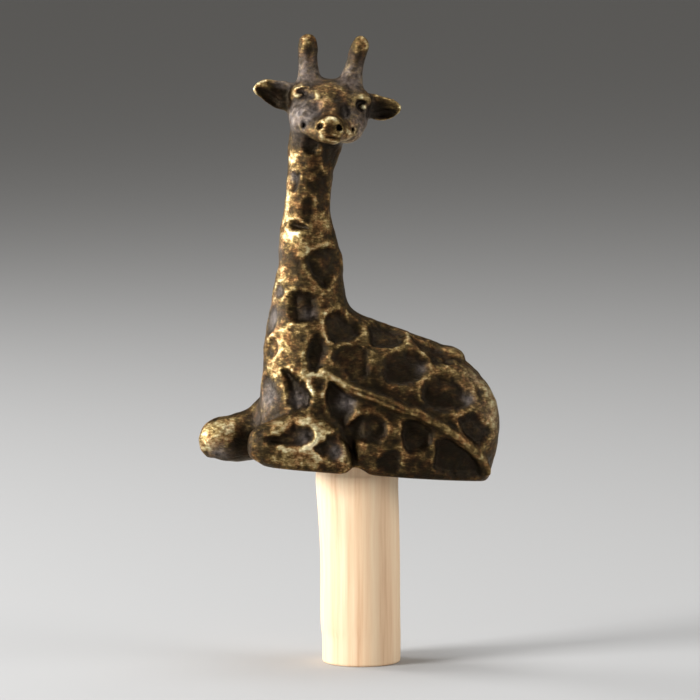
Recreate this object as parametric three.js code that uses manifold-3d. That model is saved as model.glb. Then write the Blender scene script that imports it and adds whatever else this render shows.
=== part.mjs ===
// A seated giraffe cast in brass, fixed on the end of a hand-trimmed wooden dowel. Millimetres, +Z up.
//
// The origin is the centre of the dowel's cut lower end, and the dowel runs up +Z. The giraffe lies along X
// with its chest towards -X and its rump towards +X. Its head is turned to face -Y, its own left side.
// The giraffe sits a few degrees back on the dowel, so it is drawn in a casting frame of its own, whose z = 0
// is the casting's flat underside, and then tipped about Y and lifted onto the dowel.

import * as THREE from "three";
import { LoftGeometry } from "three/addons/geometries/LoftGeometry.js";
import { mergeVertices } from "three/addons/utils/BufferGeometryUtils.js";
import Module from "manifold-3d";

const wasm = await Module();
wasm.setup();

// ---- Driving dimensions ----

const DOWEL_DIAMETER = 25.4; // its nominal size, which the tenon keeps
const UNDERSIDE_HEIGHT = 61.5; // from the dowel's cut end up to the casting's underside, at X = 0
const TENON_LENGTH = 20; // how far the dowel goes up inside the casting
const TENON_OFFSET = -1.4; // the dowel bends a little, so its top is off centre along X
const TIP_BACK = THREE.MathUtils.degToRad(5.5); // the giraffe leans back towards its rump

const GAP = 0.3; // between solids that touch in the real object
const GLUE_THICKNESS = 0.5;
const DOWEL_CHAMFER = 0.8;

const STUD_DIAMETER = 8;
const STUD_PITCH = 1.25;
const STUD_IN_WOOD = 27;
const STUD_IN_BRASS = 13;
const HOLE_BOTTOM = 1.5; // clearance past each end of the stud

const DENT_DEPTH = 1.5; // of the coat's patches, which are pressed into the surface

// ---- Sizes that follow from those ----

const TENON_RADIUS = DOWEL_DIAMETER / 2;
const DOWEL_TOP = UNDERSIDE_HEIGHT + TENON_LENGTH;
const GLUE_INNER = TENON_RADIUS + GAP;
const GLUE_OUTER = GLUE_INNER + GLUE_THICKNESS;
const SOCKET_RADIUS = GLUE_OUTER + GAP;
const GLUE_TOP = DOWEL_TOP + GAP + GLUE_THICKNESS;
const SOCKET_TOP = GLUE_TOP + GAP;
const STUD_RADIUS = STUD_DIAMETER / 2;
const STUD_HOLE_RADIUS = STUD_RADIUS + GAP;
const STUD_BOTTOM = DOWEL_TOP - STUD_IN_WOOD;
const STUD_TOP = SOCKET_TOP + STUD_IN_BRASS;

const underside = new THREE.Matrix4()
  .makeTranslation(0, 0, UNDERSIDE_HEIGHT)
  .multiply(new THREE.Matrix4().makeRotationY(TIP_BACK));

// ---- The giraffe's forms, in the casting frame ----
// A loft's rows run along one axis: [place along it, centre, centre, half-width, half-width], where the two
// centres and the two half-widths are for the next two axes in the order X, Y, Z, X, Y.

const TORSO = {
  axis: 0,
  rows: [
    [-31, 0, 20, 3, 4],
    [-28, 0, 21, 11, 15],
    [-20, 0, 22, 15.5, 21],
    [-8, 0, 23.5, 17.5, 25],
    [2, 0, 22.5, 18.5, 24.3],
    [12, 0, 21, 19, 23.3],
    [22, 0, 19, 18.8, 22.4],
    [30, 0, 16.5, 17.5, 20.6],
    [36, 0, 14, 14.5, 18.2],
    [40, 0, 12.5, 10.5, 13],
    [42, 0, 12, 4, 5],
  ],
};

const NECK = {
  axis: 2,
  rows: [
    [-3, -18, 0, 14, 13],
    [8, -19, 0, 14.6, 15],
    [20, -19.5, 0, 14.6, 15.5],
    [32, -20, 0, 15, 14.6],
    [42, -19.5, 0, 15.2, 13.4],
    [48, -19.8, 0, 14, 12.2],
    [54, -21.8, 0, 11.6, 11.2],
    [60, -22.5, 0, 10.4, 10.2],
    [66, -22.9, 0, 10.1, 9.6],
    [72, -24, 0, 8.9, 8.7],
    [82, -25.2, 0, 7.1, 7.4],
    [93, -25.3, 0, 7.3, 7.6],
    [101, -24.7, 0, 8.4, 8.4],
    [110, -23.5, 0, 8.6, 8.4],
    [116, -22.5, 0, 5, 5],
  ],
};

// The near legs lie on -Y and show. The far hind leg mirrors the near one, and the far foreleg is stretched.
const FORELEG = {
  axis: 0,
  rows: [
    [-39.6, -12.5, 7, 1.5, 2],
    [-38.4, -12.7, 7, 4.2, 4.3],
    [-34.5, -13, 7.2, 6.2, 6.8],
    [-30, -13.4, 7.2, 7, 8.7],
    [-25, -13.6, 7.4, 7.6, 10.7],
    [-19.5, -13.8, 7.5, 7.9, 11.3],
    [-14, -13.8, 5.5, 7.6, 10.2],
    [-10, -13.5, 3, 6.8, 8.1],
    [-7, -13.2, 1, 5, 5.2],
    [-5.8, -13, 0, 2, 2.5],
  ],
};

const STRETCHED_FORELEG = {
  axis: 0,
  rows: [
    [-51.6, 7, 5.6, 1, 1],
    [-50.6, 7, 5.8, 3.2, 3.5],
    [-48.5, 7.1, 6.1, 5, 5.3],
    [-46, 7.2, 5.9, 6, 6.6],
    [-43, 7.4, 5.8, 6.5, 7.3],
    [-39, 7.8, 6.5, 7, 8.1],
    [-36, 8, 8, 7.2, 9],
    [-33, 8.2, 10, 7.2, 10.6],
    [-26, 8, 11, 6, 9],
  ],
};

const THIGH = { centre: [24, -8.5, 17], half: [17.5, 12.5, 18.5] };

const SHANK = {
  axis: 0,
  rows: [
    [-7, -13, 10, 1.5, 4],
    [-5, -13.5, 10.5, 5, 11.5],
    [2, -14, 9.5, 6.6, 12.5],
    [12, -14, 7.5, 7, 10.5],
    [22, -13, 5.5, 6.6, 8],
    [31, -11, 4, 5.6, 6],
    [37, -9, 3, 4.4, 4.6],
    [39.5, -8, 3, 1.5, 2],
  ],
};

const TAIL_LIFT = 0.6; // of the tail's middle line above the surface that it lies on

// The tail lies on the near side, from its tuft to its root: [x, z, half-thickness, half-height].
const TAIL = [
  [-17, 33.6, 0.3, 0.5],
  [-14, 31.8, 0.6, 0.9],
  [-9, 29.6, 0.9, 1.2],
  [-4, 28, 1.2, 1.6],
  [2, 25.8, 1.6, 2.1],
  [7.5, 23.8, 1.7, 2.2],
  [10, 22.9, 1.4, 1.8],
  [14, 21.4, 1.6, 1.9],
  [20, 19.2, 1.6, 1.9],
  [25, 16.2, 1.6, 1.9],
  [30, 12.6, 1.6, 2],
  [34.5, 8.8, 1.6, 2.2],
  [37.4, 5, 1.7, 2.4],
  [38.6, 2.6, 1.4, 2.2],
];

// ---- The head, in a frame of its own: forward is -Y, and the origin is the middle of the skull ----

const HEAD_PLACE = new THREE.Vector3(-21.9, -3, 110.6);
const HEAD_TURN = THREE.MathUtils.degToRad(-12);

const SKULL = { centre: [0, 0, 2.2], half: [12.5, 10.5, 9.3] };
const CHEEK = { centre: [6.2, -4, -1.5], half: [5.6, 8.4, 5.5] };
const BROW = { centre: [9, -4.2, 8], half: [3, 2, 1.5] };
const EYE = { centre: [10.4, -4.6, 5.6], half: [1.4, 1.3, 1] };
const BRIDGE_HOLLOW = { centre: [5.4, -13, 3.4], half: [2.9, 4.8, 3.3] };
const NOSTRILS = [
  { centre: [-2.5, -20.9, -2.8], half: [0.9, 1.6, 0.8] },
  { centre: [3.6, -20.9, -2.8], half: [0.9, 1.6, 0.8] },
];

const MUZZLE = {
  axis: 1,
  rows: [
    [-21.8, -3.6, 1, 1.6, 2],
    [-21.2, -3.6, 1, 3, 3.5],
    [-18.5, -3.5, 0.9, 3.9, 4.2],
    [-14, -2.8, 0.6, 4.7, 4.7],
    [-8, -0.6, 0.3, 6.4, 6.6],
    [0, 1, 0, 7, 8],
    [5, 2, 0, 4, 5],
  ],
};

// The horns and ears were modelled by hand, so the two of each pair differ.
const HORN_AT_CHEST_SIDE = {
  axis: 2,
  rows: [
    [7, -6.2, 0.5, 4.6, 4.4],
    [10.5, -7, 0.5, 3.7, 3.6],
    [14, -7.6, 0.5, 3.2, 3.2],
    [18.5, -8.2, 0.5, 3.1, 3.1],
    [22.4, -8.5, 0.5, 2.8, 2.8],
    [24, -8.5, 0.5, 1.9, 1.9],
    [24.7, -8.5, 0.5, 0.7, 0.7],
  ],
};

const HORN_AT_RUMP_SIDE = {
  axis: 2,
  rows: [
    [7, 4.8, 0.5, 4.8, 4.4],
    [10.8, 5.6, 0.5, 4, 3.8],
    [14, 6.3, 0.5, 3.2, 3.2],
    [18.4, 7.1, 0.5, 2.9, 2.9],
    [22.8, 7.9, 0.5, 2.7, 2.7],
    [24.9, 8, 0.5, 1.8, 1.8],
    [25.7, 8, 0.5, 0.7, 0.7],
  ],
};

const EAR_AT_CHEST_SIDE = {
  axis: 0,
  rows: [
    [-24.9, -1, 6.4, 0.6, 0.8],
    [-23.8, -0.9, 6.6, 1.2, 1.9],
    [-22, -0.6, 6.6, 1.6, 2.8],
    [-19.5, -0.2, 6.2, 2, 4.3],
    [-16.6, 0.2, 5.3, 2.2, 4.9],
    [-13.4, 0.6, 4.8, 2.4, 4.8],
    [-10, 1, 4.5, 2, 3.6],
  ],
};

const EAR_AT_RUMP_SIDE = {
  axis: 0,
  rows: [
    [9.5, 1, 4.2, 1.8, 2.8],
    [12.5, 0.7, 4.3, 2.2, 3.7],
    [16, 0.3, 3.7, 2, 3.6],
    [19, -0.1, 3.8, 1.7, 2.9],
    [21.4, -0.5, 4.3, 1.1, 1.6],
    [22.6, -0.7, 4.7, 0.5, 0.7],
  ],
};

const EAR_HOLLOWS = [
  { centre: [-19.2, -2.4, 4.2], half: [4.8, 2.2, 1.7], lean: 32 },
  { centre: [17.4, -1.9, 2.4], half: [4.6, 2, 1.6], lean: -6 },
];

// ---- The dowel, trimmed by hand: it narrows and bends slightly, so its rows run up its own axis ----

const DOWEL = {
  axis: 2,
  rows: [
    [0, 0, 0, 11.6, 11.6],
    [DOWEL_CHAMFER, 0, 0, 12.4, 12.4],
    [8, 0, 0, 12.45, 12.5],
    [14, -0.3, 0, 12.7, 12.6],
    [33, -0.4, 0, 12.55, 12.6],
    [45, -0.8, 0, 12.8, 12.7],
    [55, -1.3, 0, 13, 12.9],
    [UNDERSIDE_HEIGHT - 2, TENON_OFFSET, 0, 13.1, 13],
    [UNDERSIDE_HEIGHT + 2, TENON_OFFSET, 0, TENON_RADIUS, TENON_RADIUS],
    [DOWEL_TOP - DOWEL_CHAMFER, TENON_OFFSET, 0, TENON_RADIUS, TENON_RADIUS],
    [DOWEL_TOP, TENON_OFFSET, 0, TENON_RADIUS - DOWEL_CHAMFER, TENON_RADIUS - DOWEL_CHAMFER],
  ],
};

// ---- The coat: patches pressed into the sides, as [x, z, half-length, half-height, lean in degrees] ----

const COAT_PATCHES = [
  [-26.5, 51, 5.2, 4.6, 0],
  [-12.8, 45.6, 5.4, 4, 10],
  [-20.7, 37.7, 3.3, 5.2, -20],
  [-8.6, 33.3, 5.2, 4.4, 0],
  [1.3, 43, 5.2, 3.4, 12],
  [8.2, 34.7, 6, 4.4, -10],
  [17.5, 38, 6.4, 2.6, 22],
  [21, 28.3, 6.4, 5.2, 5],
  [31, 17.4, 5, 4.2, 15],
  [1, 28.4, 5.4, 3, 20],
  [-26.3, 24.9, 4.2, 6, 15],
  [-12.8, 22.4, 4.2, 6.4, -12],
  [-20.7, 28.6, 2.4, 3, 0],
  [-27.3, 10.6, 6.8, 3.6, -18],
  [-14.6, 8, 4, 3.8, 10],
  [-3, 14.6, 5.2, 4.6, 0],
  [11.6, 12.6, 3.8, 4.2, 12],
  [5, 5, 4, 2.8, 0],
  [24, 5, 4.6, 2.6, 12],
  [-20.3, 65.9, 4, 6.6, 10],
  [-29, 76, 2.4, 1.8, 15],
  [-25.5, 88, 1.8, 3.6, 0],
];
const NECK_PATCHES_FROM = 60; // above this height the patches go all round the neck

// The far side's coat is pressed separately, so its patches fall a little differently.
const FAR_SHIFT = [3, -1.5];

// ---- Solids ----

const copyOf = (geometry) => new THREE.BufferGeometry().copy(geometry);

function solidOf(geometry) {
  const bare = copyOf(geometry);
  bare.deleteAttribute("normal");
  bare.deleteAttribute("uv");
  const merged = mergeVertices(bare, 1e-4);
  return new wasm.Manifold(
    new wasm.Mesh({
      numProp: 3,
      vertProperties: new Float32Array(merged.attributes.position.array),
      triVerts: new Uint32Array(merged.index.array),
    }),
  );
}

function geometryOf(solid) {
  const mesh = solid.getMesh();
  const geometry = new THREE.BufferGeometry();
  geometry.setAttribute(
    "position",
    new THREE.BufferAttribute(mesh.vertProperties, 3),
  );
  geometry.setIndex(new THREE.BufferAttribute(mesh.triVerts, 1));
  geometry.computeVertexNormals();
  return geometry;
}

const joined = (solids) => solids.reduce((a, b) => a.add(b));

// A closed form through the rows, with elliptical sections across its axis.
function loft({ axis, rows }, ringPoints) {
  const [along, second, third] = [0, 1, 2].map((i) => (axis + i) % 3);
  const sections = rows.map(([place, middle2, middle3, half2, half3]) => {
    const section = [];
    for (let i = 0; i < ringPoints; i++) {
      const angle = (i / ringPoints) * 2 * Math.PI;
      const point = new THREE.Vector3();
      point.setComponent(along, place);
      point.setComponent(second, middle2 + half2 * Math.cos(angle));
      point.setComponent(third, middle3 + half3 * Math.sin(angle));
      section.push(point);
    }
    return section;
  });
  return new LoftGeometry(sections, { capStart: true, capEnd: true });
}

// A positive lean, in degrees, tips the form's +X end down.
function ellipsoid({ centre, half, lean = 0 }, columns, rings) {
  return new THREE.SphereGeometry(1, columns, rings)
    .scale(...half)
    .rotateY(THREE.MathUtils.degToRad(lean))
    .translate(...centre);
}

// The mirror image in the plane where the given axis is 0, with its faces turned back outwards.
function mirrored(geometry, axis) {
  const scale = [1, 1, 1];
  scale[axis] = -1;
  const image = copyOf(geometry).scale(...scale);
  const index = image.index.array;
  for (let i = 0; i < index.length; i += 3) {
    [index[i + 1], index[i + 2]] = [index[i + 2], index[i + 1]];
  }
  return image;
}

// A solid turned about the tenon's axis from a profile of [radius, height] points, closed on itself or on
// the axis.
function turned(profile, segments = 40) {
  const points = profile.map(([radius, height]) => new THREE.Vector2(radius, height));
  return new THREE.LatheGeometry(points, segments)
    .rotateX(Math.PI / 2)
    .translate(TENON_OFFSET, 0, 0);
}

// A plain cylinder on the tenon's axis.
function pin(radius, bottom, top, segments) {
  return turned(
    [
      [0, bottom],
      [radius, bottom],
      [radius, top],
      [0, top],
    ],
    segments,
  );
}

const bothSides = (form, axis) => [form, mirrored(form, axis)];

// ---- The giraffe ----

function headSolid() {
  const detail = (form) => ellipsoid(form, 10, 6);
  const kept = [
    ellipsoid(SKULL, 16, 10),
    ...bothSides(ellipsoid(CHEEK, 14, 8), 0),
    loft(HORN_AT_CHEST_SIDE, 10),
    loft(HORN_AT_RUMP_SIDE, 10),
    loft(EAR_AT_CHEST_SIDE, 10),
    loft(EAR_AT_RUMP_SIDE, 10),
    ...bothSides(detail(BROW), 0),
    ...bothSides(detail(EYE), 0),
  ];
  const hollows = [
    ...bothSides(detail(BRIDGE_HOLLOW), 0),
    ...EAR_HOLLOWS.map(detail),
  ];
  const place = new THREE.Matrix4()
    .makeTranslation(HEAD_PLACE)
    .multiply(new THREE.Matrix4().makeRotationZ(HEAD_TURN));
  const placed = (form) => solidOf(form.applyMatrix4(place));
  return joined(kept.map(placed))
    .subtract(joined(hollows.map(placed)))
    .add(placed(loft(MUZZLE, 16)))
    .subtract(joined(NOSTRILS.map(detail).map(placed)));
}

function trunkSolid() {
  const forms = [
    loft(TORSO, 20),
    loft(NECK, 20),
    loft(FORELEG, 14),
    loft(STRETCHED_FORELEG, 14),
    ...bothSides(loft(SHANK, 14), 1),
    ...bothSides(ellipsoid(THIGH, 18, 12), 1),
  ];
  return joined(forms.map(solidOf));
}

// Where a level ray along Y from one side (-1 is the near side) first meets the trunk.
function surfaceHit(trunk, x, z, side) {
  const from = new THREE.Vector3(x, side * 100, z);
  const inwards = new THREE.Vector3(0, -side, 0);
  return new THREE.Raycaster(from, inwards).intersectObject(trunk)[0];
}

function tailSolid(trunk) {
  const rows = TAIL.map(([x, z, halfY, halfZ]) => {
    const { point, face } = surfaceHit(trunk, x, z, -1);
    point.addScaledVector(face.normal, TAIL_LIFT);
    return [...point, halfY, halfZ];
  });
  return solidOf(loft({ axis: 0, rows }, 8));
}

// A shallow ellipsoid that presses one coat patch into the trunk, lying along the surface there.
function dentAt(trunk, x, z, halfX, halfZ, leanDegrees, side) {
  const hit = surfaceHit(trunk, x, z, side);
  if (!hit) return [];
  const outwards = new THREE.Vector3(0, side, 0);
  const lie = new THREE.Quaternion().setFromUnitVectors(outwards, hit.face.normal);
  const dent = ellipsoid(
    { centre: [0, 0, 0], half: [halfX, DENT_DEPTH, halfZ], lean: leanDegrees },
    9,
    6,
  );
  dent.applyQuaternion(lie).translate(...hit.point);
  return [solidOf(dent)];
}

function coatDents(trunk) {
  const near = COAT_PATCHES.flatMap((patch) => dentAt(trunk, ...patch, -1));
  const far = COAT_PATCHES.flatMap(([x, z, halfX, halfZ, lean]) => {
    const [shiftX, shiftZ] = z > NECK_PATCHES_FROM ? [0, 0] : FAR_SHIFT;
    return dentAt(trunk, x + shiftX, z + shiftZ, halfX, halfZ, -lean, 1);
  });
  return joined([...near, ...far]);
}

// The notch in the near edge between the foreleg and the belly, where the wood shows.
const NOTCH = { x: -5.2, radius: 5.5, below: 3.6 };

function notchCutter() {
  return new THREE.CylinderGeometry(NOTCH.radius, NOTCH.radius, 16, 20)
    .translate(NOTCH.x, -18, -NOTCH.below);
}

function castingSolid() {
  const trunkForms = trunkSolid();
  const trunk = new THREE.Mesh(geometryOf(trunkForms));
  const belowUnderside = new THREE.BoxGeometry(200, 200, 60).translate(0, 0, -30);
  const giraffe = trunkForms
    .subtract(coatDents(trunk))
    .add(tailSolid(trunk))
    .add(headSolid())
    .subtract(solidOf(belowUnderside))
    .subtract(solidOf(notchCutter()));
  const placed = solidOf(geometryOf(giraffe).applyMatrix4(underside));
  const socket = pin(SOCKET_RADIUS, UNDERSIDE_HEIGHT - 10, SOCKET_TOP, 40);
  const tappedHole = pin(STUD_HOLE_RADIUS, SOCKET_TOP - 1, STUD_TOP + HOLE_BOTTOM, 16);
  return placed.subtract(solidOf(socket)).subtract(solidOf(tappedHole));
}

// ---- The other pieces ----

// The dowel, eased at both ends, with a blind hole for the stud in its top.
function dowelGeometry() {
  const hole = pin(STUD_HOLE_RADIUS, STUD_BOTTOM - HOLE_BOTTOM, DOWEL_TOP + 1, 16);
  return geometryOf(solidOf(loft(DOWEL, 40)).subtract(solidOf(hole)));
}

// A threaded stud: its thread is drawn as rings, one to each pitch.
function studGeometry() {
  const root = STUD_RADIUS - 0.61 * STUD_PITCH;
  const profile = [
    [0, STUD_BOTTOM],
    [root, STUD_BOTTOM],
  ];
  for (let z = STUD_BOTTOM; z + STUD_PITCH <= STUD_TOP; z += STUD_PITCH) {
    profile.push([STUD_RADIUS, z + STUD_PITCH / 2], [root, z + STUD_PITCH]);
  }
  profile.push([root, STUD_TOP], [0, STUD_TOP]);
  return turned(profile, 10);
}

// The cured glue: a thin cup over the tenon, open below, with a hole for the stud.
function glueGeometry() {
  const bottom = UNDERSIDE_HEIGHT + 2.5; // above the notch and the low side of the tipped underside
  return turned([
    [GLUE_INNER, bottom],
    [GLUE_OUTER, bottom],
    [GLUE_OUTER, GLUE_TOP],
    [STUD_HOLE_RADIUS, GLUE_TOP],
    [STUD_HOLE_RADIUS, GLUE_TOP - GLUE_THICKNESS],
    [GLUE_INNER, GLUE_TOP - GLUE_THICKNESS],
    [GLUE_INNER, bottom],
  ]);
}

// ---- Materials and nodes ----

const brass = new THREE.MeshStandardMaterial({ color: 0x6e5a34, roughness: 0.45, metalness: 0.9 });
const wood = new THREE.MeshStandardMaterial({ color: 0xe6cfa8, roughness: 0.6, metalness: 0 });
const glue = new THREE.MeshStandardMaterial({ color: 0xc9b98a, roughness: 0.4, metalness: 0 });
const steel = new THREE.MeshStandardMaterial({ color: 0x9a9ca0, roughness: 0.35, metalness: 1 });

function node(name, geometry, material) {
  const mesh = new THREE.Mesh(geometry, material);
  mesh.name = name;
  return mesh;
}

const giraffeOnDowel = new THREE.Group();
giraffeOnDowel.add(
  node("giraffe_casting", geometryOf(castingSolid()), brass),
  node("wooden_dowel", dowelGeometry(), wood),
  node("glue_cup", glueGeometry(), glue),
  node("threaded_stud", studGeometry(), steel),
);

export default giraffeOnDowel;
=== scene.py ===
"""A patinated brass giraffe on a wooden dowel: the looks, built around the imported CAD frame.

The giraffe is modelled as clay is: simple forms are run together on a grid of signed distances, with soft
fillets, and turned into one surface. The coat's patches are then pressed into that surface, and the finish
is worked out from its hollows and ridges.

Lengths are in millimetres until a mesh, a lamp or the camera is made. The giraffe is drawn in its casting
frame, whose z = 0 is the flat underside, and then tipped back and lifted onto the dowel, as in the CAD. Its
chest is towards -X, its rump towards +X, and its near side, which the photograph shows, towards -Y.
"""

import math

import bpy
import numpy as np
import openvdb as vdb
from mathutils import Matrix, Vector


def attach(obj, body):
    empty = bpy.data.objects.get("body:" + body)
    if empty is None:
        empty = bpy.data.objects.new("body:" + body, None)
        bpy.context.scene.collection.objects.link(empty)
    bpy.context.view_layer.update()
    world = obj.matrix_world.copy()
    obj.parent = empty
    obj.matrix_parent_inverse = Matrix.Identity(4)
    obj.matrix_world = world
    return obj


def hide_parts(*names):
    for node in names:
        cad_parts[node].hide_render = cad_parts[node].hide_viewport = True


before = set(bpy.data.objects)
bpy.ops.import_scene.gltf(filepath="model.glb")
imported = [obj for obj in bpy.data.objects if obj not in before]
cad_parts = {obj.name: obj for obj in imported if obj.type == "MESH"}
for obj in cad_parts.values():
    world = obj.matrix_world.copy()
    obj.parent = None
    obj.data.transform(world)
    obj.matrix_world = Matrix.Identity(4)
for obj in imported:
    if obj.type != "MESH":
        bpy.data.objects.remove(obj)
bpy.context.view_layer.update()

MM = 0.001
X, Y, Z = 0, 1, 2

# ---- Sizes shared with the CAD ----

UNDERSIDE_HEIGHT = 61.5  # from the dowel's cut end up to the casting's underside, at x = 0
TIP_BACK = math.radians(5.5)
TENON_LENGTH = 20  # how far the dowel goes up inside the casting
TENON_OFFSET = -1.4  # the dowel bends a little, so its top is off centre along X
TENON_RADIUS = 12.7
DOWEL_TOP = UNDERSIDE_HEIGHT + TENON_LENGTH
DOWEL_CHAMFER = 0.8
SOCKET_CLEARANCE = 1.1  # the glue's thickness and a narrow gap on each side of it
SOCKET_RADIUS = TENON_RADIUS + SOCKET_CLEARANCE
SOCKET_TOP = DOWEL_TOP + SOCKET_CLEARANCE
STUD_IN_WOOD = 27
STUD_IN_BRASS = 13
STUD_HOLE_RADIUS = 4.3
STUD_HOLE_SPARE = 1.5  # past each end of the stud
STUD_HOLE_BOTTOM = DOWEL_TOP - STUD_IN_WOOD - STUD_HOLE_SPARE
STUD_HOLE_TOP = SOCKET_TOP + STUD_IN_BRASS + STUD_HOLE_SPARE
NOTCH_RADIUS = 5.5
NOTCH_X = -5.2
NOTCH_BELOW = 3.6  # how far its middle is below the underside

ON_DOWEL = Matrix.Translation((0, 0, UNDERSIDE_HEIGHT)) @ Matrix.Rotation(TIP_BACK, 4, "Y")
# Where the dowel's axis meets the underside, in the casting frame.
SOCKET_MIDDLE = np.array((TENON_OFFSET / math.cos(TIP_BACK), 0, 0))

HEAD_TURN = math.radians(-12)
HEAD_FRAME = Matrix.Translation((-21.9, -3, 110.6)) @ Matrix.Rotation(HEAD_TURN, 4, "Z")

# ---- The giraffe's forms ----
# A loft's rows run along one axis: (place along it, centre, centre, half-width, half-width), where the two
# centres and the two half-widths are for the next two axes in the order X, Y, Z, X, Y.

TORSO = [
    (-31, 0, 20, 3, 4),
    (-28, 0, 21, 11, 15),
    (-20, 0, 22, 15.5, 21),
    (-8, 0, 23.5, 17.5, 25),
    (2, 0, 22.5, 18.5, 24.3),
    (12, 0, 21, 19, 23.3),
    (22, 0, 19, 18.8, 22.4),
    (30, 0, 16.5, 17.5, 20.6),
    (36, 0, 14, 14.5, 18.2),
    (40, 0, 12.5, 10.5, 13),
    (42, 0, 12, 4, 5),
]

NECK = [
    (-3, -18, 0, 14, 13),
    (8, -19, 0, 14.6, 15),
    (20, -19.5, 0, 14.6, 15.5),
    (32, -20, 0, 14.8, 14.6),
    (42, -20, 0, 14.4, 13.4),
    (48, -20.4, 0, 13.2, 12.2),
    (54, -21.9, 0, 11.4, 11.2),
    (60, -22.5, 0, 10.4, 10.2),
    (66, -22.9, 0, 10.1, 9.6),
    (72, -24, 0, 8.9, 8.7),
    (82, -25.2, 0, 7.1, 7.4),
    (93, -25.3, 0, 7.3, 7.6),
    (101, -24.7, 0, 8.4, 8.4),
    (110, -23.5, 0, 8.6, 8.4),
    (116, -22.5, 0, 5, 5),
]

FORELEG = [
    (-39.6, -12.5, 7, 1.5, 2),
    (-38.4, -12.7, 7, 4.2, 4.3),
    (-34.5, -13, 7.2, 6.2, 6.8),
    (-30, -13.4, 7.2, 7, 8.7),
    (-25, -13.6, 7.4, 7.6, 10.7),
    (-19.5, -13.8, 7.5, 7.9, 11.3),
    (-14, -13.8, 5.5, 7.6, 10.2),
    (-10, -13.5, 3, 6.8, 8.1),
    (-7, -13.2, 1, 5, 5.2),
    (-5.8, -13, 0, 2, 2.5),
]

STRETCHED_FORELEG = [
    (-51.6, 7, 5.2, 1, 1),
    (-50.6, 7, 5.3, 3.2, 3.9),
    (-48.5, 7.1, 5.3, 5, 6),
    (-46, 7.2, 5.9, 6, 6.6),
    (-43, 7.4, 5.8, 6.5, 7.3),
    (-39, 7.8, 6.5, 7, 8.1),
    (-36, 8, 7.6, 7.2, 8.5),
    (-33, 8.2, 9.2, 7.2, 9.6),
    (-26, 8, 11, 6, 9),
]

SHANK = [
    (-7, -13, 10, 1.5, 4),
    (-5, -13.5, 10.5, 5, 11.5),
    (2, -14, 9.5, 6.6, 12.5),
    (12, -14, 7.5, 7, 10.5),
    (22, -13, 5.5, 6.6, 8),
    (31, -11, 4, 5.6, 6),
    (37, -9, 3, 4.4, 4.6),
    (39.5, -8, 3, 1.5, 2),
]

MUZZLE = [
    (-21.9, -3.6, 1, 1.6, 2.6),
    (-21.3, -3.6, 1, 3, 3.9),
    (-18.5, -3.5, 0.9, 3.9, 4.4),
    (-14, -2.8, 0.6, 4.7, 4.7),
    (-8, -0.6, 0.3, 6.4, 6.6),
    (0, 1, 0, 7, 8),
    (5, 2, 0, 4, 5),
]

HORN_AT_CHEST_SIDE = [
    (7, -6.2, 0.5, 4.6, 4.4),
    (10.5, -7, 0.5, 3.7, 3.6),
    (14, -7.6, 0.5, 3.2, 3.2),
    (18.5, -8.2, 0.5, 3.1, 3.1),
    (22.4, -8.5, 0.5, 2.8, 2.8),
    (24, -8.5, 0.5, 1.9, 1.9),
    (24.7, -8.5, 0.5, 0.7, 0.7),
]

HORN_AT_RUMP_SIDE = [
    (7, 4.8, 0.5, 4.8, 4.4),
    (10.8, 5.6, 0.5, 4, 3.8),
    (14, 6.3, 0.5, 3.2, 3.2),
    (18.4, 7.1, 0.5, 2.9, 2.9),
    (22.8, 7.9, 0.5, 2.7, 2.7),
    (24.9, 8, 0.5, 1.8, 1.8),
    (25.7, 8, 0.5, 0.7, 0.7),
]

EAR_AT_CHEST_SIDE = [
    (-24.4, -1, 6.1, 0.6, 0.8),
    (-23.4, -0.9, 6.2, 1.2, 1.8),
    (-21.8, -0.6, 6.2, 1.6, 2.7),
    (-19.5, -0.2, 5.7, 2, 3.9),
    (-16.6, 0.2, 5, 2.2, 4.6),
    (-13.4, 0.6, 4.7, 2.4, 4.5),
    (-10, 1, 4.5, 2, 3.6),
]

EAR_AT_RUMP_SIDE = [
    (9.5, 1, 4.2, 1.8, 2.8),
    (12.5, 0.7, 4.3, 2.2, 3.7),
    (16, 0.3, 3.6, 2, 3.9),
    (19, -0.1, 3.7, 1.7, 3.3),
    (21.3, -0.5, 4, 1.2, 2),
    (22.5, -0.7, 4.3, 0.5, 0.9),
]

# How far the underside sags under the stretched foreleg, and from where to where the sag comes on.
SAG = 1.4
SAG_ALONG_X = (-32, -37)
SAG_ALONG_Y = (-3, 1)

# Balls: (centre, half-widths, lean in degrees). Those of the head are in its own frame, in which it faces -Y
# and the origin is near the middle of the skull.
THIGH = ((23.7, -8.5, 17), (17.1, 12.5, 18.5), 0)
BUMP_ON_BACK = ((25.4, -1.5, 38.5), (4.3, 7, 2.6), 16)
SKULL = ((0, 0, 2.2), (12.5, 10.5, 9.3), 0)
CHEEK = ((6.2, -4, -1.5), (5.6, 8.4, 5.5), 0)
BROW = ((9.2, -3.2, 5.8), (3.4, 3.8, 3.2), 0)
CHIN = ((0.8, -12, -4.4), (7.6, 6.5, 3.2), 0)
JAW_AT_RUMP_SIDE = ((6.3, -7, -4.2), (4.2, 5, 3.4), 0)

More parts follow.
